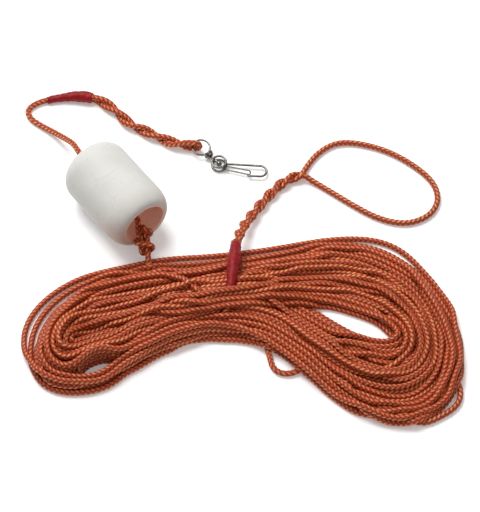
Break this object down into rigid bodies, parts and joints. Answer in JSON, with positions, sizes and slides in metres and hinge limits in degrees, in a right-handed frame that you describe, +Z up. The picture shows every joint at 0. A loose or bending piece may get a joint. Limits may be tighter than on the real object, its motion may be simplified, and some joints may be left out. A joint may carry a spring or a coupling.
{
  "type": "lifebuoy rescue line",
  "caption": "Hanked floating rescue line with a foam float, a swivel snap hook at one end and a spliced hand loop at the other.",
  "frame": {"origin": "middle of the bounding box's footprint, on the flat surface that the line lies on", "axes": "+X along the hank's length, towards its wide end and the hand loop; +Y across the hank, towards the float and the hook; +Z up from the surface"},
  "size_m": [0.449, 0.4084, 0.07],
  "materials": {
    "rope": "braided floating fibre, orange",
    "tape": "smooth adhesive tape, crimson",
    "foam": "moulded closed-cell foam, off-white",
    "plated_wire": "bright nickel-plated wire"
  },
  "bodies": {
    "line": {"line_eye": "rope", "line_hook_splice": "rope", "line_lead": "rope", "line_hank": "rope", "line_knot": "rope", "line_loop_splice": "rope", "line_tail": "rope", "line_hand_loop": "rope", "hook_tape": "tape", "loop_tape": "tape"},
    "float": {"float": "foam"},
    "swivel": {"swivel_ring": "plated_wire"},
    "pin": {"swivel_pin": "plated_wire"},
    "hook": {"hook_wire": "plated_wire"},
    "gate": {"hook_gate": "plated_wire"}
  },
  "joints": [
    {"name": "float_spin", "type": "hinge", "parent": "line", "child": "float", "pos_m": [-0.12692, 0.06116, 0.035], "axis": [0.6115, -0.7912, 0], "continuous": true},
    {"name": "ring_swing", "type": "hinge", "parent": "line", "child": "swivel", "pos_m": [-0.05099, 0.1389, 0.00763], "axis": [0.2098, 0.9762, 0.0541], "range_deg": [-90, 90]},
    {"name": "pin_swivel", "type": "hinge", "parent": "swivel", "child": "pin", "pos_m": [-0.02392, 0.11876, 0.0043], "axis": [-0.7036, 0.7036, 0.0993], "continuous": true},
    {"name": "hook_pivot", "type": "hinge", "parent": "pin", "child": "hook", "pos_m": [-0.02392, 0.11876, 0.0043], "axis": [0, 0, 1], "range_deg": [-95, 15]},
    {"name": "gate_hinge", "type": "hinge", "parent": "hook", "child": "gate", "pos_m": [-0.01857, 0.11394, 0.0043], "axis": [0, 0, 1], "range_deg": [0, 11], "stiffness_Nm_per_rad": 0.05, "springref_deg": -5.73}
  ]
}
